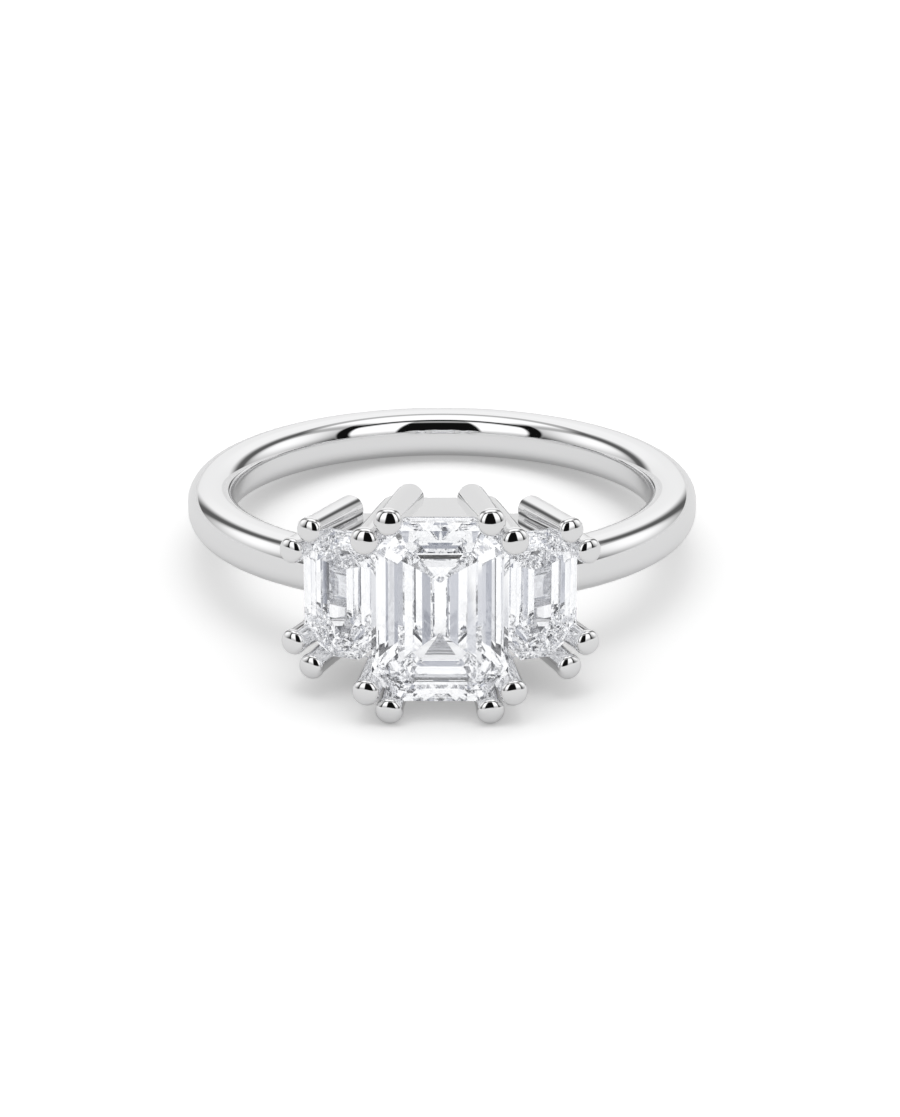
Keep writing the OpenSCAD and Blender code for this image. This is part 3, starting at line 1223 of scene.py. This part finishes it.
@dataclass(frozen=True)
class View:
    """The camera: where it looks, from which side, from how high and how far."""

    target: Triple = (0.33 * MM, 1.0 * MM, 0.15 * MM)
    azimuth: float = math.radians(0.212)
    elevation: float = math.radians(27.252)
    distance: float = 128.49 * MM
    lens_mm: float = 100.35
    nearest: float = 1 * MM

    def set_up(self) -> None:
        """Makes the camera and gives it to the scene."""
        data = bpy.data.cameras.new("camera")
        data.lens = self.lens_mm
        data.clip_start = self.nearest
        camera = bpy.data.objects.new("camera", data)
        bpy.context.scene.collection.objects.link(camera)
        flat = self.distance * math.cos(self.elevation)
        offset = np.array([flat * math.sin(self.azimuth), -flat * math.cos(self.azimuth),
                           self.distance * math.sin(self.elevation)])
        camera.location = np.array(self.target) + offset
        camera.rotation_euler = (math.pi / 2 - self.elevation, 0.0, self.azimuth)
        bpy.context.scene.camera = camera


@dataclass(frozen=True)
class PolishMarks:
    """The faint marks that polishing leaves, fine ones and broad ones."""

    detail: float = 4.0
    broad_share: float = 0.2

    def build(self) -> NodeTree:
        """Makes the node group that all finishes share.

        Returns:
            A group that reads a point and puts out a roughness, a height and a shade.
        """
        group = bpy.data.node_groups.new("polish_marks", "ShaderNodeTree")
        group.interface.new_socket("Vector", in_out="INPUT", socket_type="NodeSocketVector")
        for direction, names in (("INPUT", ("Scale", "Smoothest", "Roughest")),
                                 ("OUTPUT", ("Roughness", "Height", "Shade"))):
            for name in names:
                group.interface.new_socket(name, in_out=direction, socket_type="NodeSocketFloat")
        graph = Graph(group)
        given = graph.add("NodeGroupInput").outputs
        fine = graph.add("ShaderNodeTexNoise", Vector=given["Vector"], Scale=given["Scale"],
                         Detail=self.detail).outputs["Fac"]
        broad = graph.add("ShaderNodeTexNoise", Vector=given["Vector"],
                          Scale=graph.math("MULTIPLY", given["Scale"], self.broad_share))
        graph.add("NodeGroupOutput", Height=fine, Shade=broad.outputs["Fac"],
                  Roughness=graph.lerp(given["Smoothest"], given["Roughest"], fine))
        return group


@dataclass(frozen=True)
class Finish:
    """What every finish here has: a colour, and how rough polishing marks leave it."""

    name: str
    colour: tuple[float, float, float, float]
    smoothest: float
    roughest: float
    mark_scale: float = 900.0

    def build(self, polish: NodeTree) -> Material:
        """Makes the material: polishing marks, and a surface that follows them.

        Args:
            polish: The shared group of polishing marks.

        Returns:
            The material.
        """
        material = bpy.data.materials.new(self.name)
        material.use_nodes = True
        material.node_tree.nodes.clear()
        graph = Graph(material.node_tree)
        place = graph.add("ShaderNodeTexCoord").outputs["Object"]
        marks = graph.add("ShaderNodeGroup")
        marks.node_tree = polish
        for name, value in (("Vector", place), ("Scale", self.mark_scale),
                            ("Smoothest", self.smoothest), ("Roughest", self.roughest)):
            graph.feed(marks.inputs[name], value)
        graph.add("ShaderNodeOutputMaterial", Surface=self.surface(graph, marks.outputs))
        return material

    def surface(self, graph: Graph, marks: dict) -> NodeSocket:
        """Adds the shader, which every finish has of its own.

        Args:
            graph: The material's graph.
            marks: Outputs of the polishing marks, by name.

        Returns:
            The shader's output.
        """
        raise NotImplementedError(self.name)


@dataclass(frozen=True)
class PolishedMetal(Finish):
    """White metal polished to a mirror, with hair-fine marks."""

    darkest: float = 0.97
    mark_depth: float = 0.001 * MM
    mark_strength: float = 0.1

    def surface(self, graph: Graph, marks: dict) -> NodeSocket:
        """Metal whose tone, gloss and height follow the marks."""
        dull = tuple(self.darkest * channel for channel in self.colour[:3]) + (1.0,)
        tint = graph.blend(dull, self.colour, marks["Shade"])
        bump = graph.add("ShaderNodeBump", Height=marks["Height"],
                         Strength=self.mark_strength, Distance=self.mark_depth)
        shader = graph.add(
            "ShaderNodeBsdfPrincipled", Base_Color=tint, Metallic=1.0,
            Roughness=marks["Roughness"], Normal=bump.outputs["Normal"])
        return shader.outputs["BSDF"]


@dataclass(frozen=True)
class CutDiamond(Finish):
    """Clear stone that bends light strongly, its facets polished flat.

    Its body colour drifts very slightly, from colourless to the faintest blue.
    """

    refraction: float = 2.417
    faint: tuple[float, float, float, float] = (0.97, 0.98, 1.0, 1.0)

    def surface(self, graph: Graph, marks: dict) -> NodeSocket:
        """Clear stone whose tint follows the marks, with one gloss all over."""
        tint = graph.blend(self.colour, self.faint, marks["Shade"])
        shader = graph.add(
            "ShaderNodeBsdfPrincipled", Base_Color=tint, Metallic=0.0,
            Roughness=self.smoothest, IOR=self.refraction, Transmission_Weight=1.0)
        return shader.outputs["BSDF"]


@dataclass(frozen=True)
class PaleFloor(Finish):
    """Matt white board that glows a little: painted fill light that lifts its shadows.

    It is a little darker in the metal, darker still in the sharp mirror of a facet, and
    out of sight from inside a stone.
    """

    mirrored_share: float = 0.72
    facet_share: float = 0.32
    # Painted fill light: the board's own glow, which lightens its shadows near the ring
    glow: float = 0.424

    def surface(self, graph: Graph, marks: dict) -> NodeSocket:
        """Matt board that glows with painted fill light, clear for light inside a stone."""
        path = graph.add("ShaderNodeLightPath").outputs
        shade = graph.lerp(1.0, self.mirrored_share, path["Is Glossy Ray"])
        shade = graph.lerp(shade, self.facet_share, path["Is Singular Ray"])
        tone = graph.blend(BLACK, self.colour, shade)
        # The emission is painted fill light, and it lightens the board inside its shadows too
        board = graph.add(
            "ShaderNodeBsdfPrincipled", Base_Color=tone, Roughness=marks["Roughness"],
            Specular_IOR_Level=0.0, Emission_Color=WHITE,
            Emission_Strength=graph.math("MULTIPLY", shade, self.glow))
        clear = graph.add("ShaderNodeBsdfTransparent")
        mix = graph.add("ShaderNodeMixShader", Fac=graph.inside_stone(path))
        graph.feed(mix.inputs[1], board.outputs["BSDF"])
        graph.feed(mix.inputs[2], clear.outputs["BSDF"])
        return mix.outputs["Shader"]


def dress(piece: Object, finish: Material, node: Node) -> None:
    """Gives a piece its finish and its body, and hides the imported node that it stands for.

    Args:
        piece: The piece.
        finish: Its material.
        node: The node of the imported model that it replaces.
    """
    piece.data.materials.clear()
    piece.data.materials.append(finish)
    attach(piece, BODY)
    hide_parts(node.value)
    LOG.info("%s: %d faces, for %s", piece.name, len(piece.data.polygons), node.value)


def set_up_light_paths(bounces: int = 64, matt_bounces: int = 2) -> None:
    """Lets light pass through the stones often enough, and shows tones as they are.

    The floor gets no light by way of the metal, so the shadows close to it stay deep.

    Args:
        bounces: How often light may meet a facet or the metal.
        matt_bounces: How often it may meet the floor.
    """
    scene = bpy.context.scene
    scene.view_settings.view_transform = "Standard"
    scene.cycles.max_bounces = bounces
    scene.cycles.transmission_bounces = bounces
    scene.cycles.glossy_bounces = bounces
    scene.cycles.diffuse_bounces = matt_bounces
    scene.cycles.caustics_reflective = False
    scene.cycles.caustics_refractive = True


def main() -> None:
    """Builds the stage, the ring's metal and its stones."""
    logging.basicConfig(level=logging.INFO, format="%(name)s: %(message)s")
    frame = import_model()
    pose = RingPose.from_record(frame["record"])
    View().set_up()
    set_up_light_paths()

    polish = PolishMarks().build()
    metal = PolishedMetal(
        "polished_white_metal", (0.86, 0.86, 0.865, 1.0), smoothest=0.015, roughest=0.035
    ).build(polish)
    diamond = CutDiamond(
        "cut_diamond", (0.985, 0.99, 1.0, 1.0), smoothest=0.0, roughest=0.0).build(polish)
    board = PaleFloor(
        "pale_board", (0.8, 0.8, 0.8, 1.0), smoothest=0.6, roughest=0.8, mark_scale=60.0
    ).build(polish)

    studio = Studio()
    studio.paint_sky()
    studio.lay_floor(board)

    shank, head = Shank(pose, "shank"), Head(pose)
    dress(put_in_scene(shank.build()), metal, Node.MOUNT)
    for piece in head.build_metal(shank):
        dress(piece, metal, Node.MOUNT)
    for piece, node in head.build_stones():
        dress(piece, diamond, node)


if __name__ == "__main__":
    main()
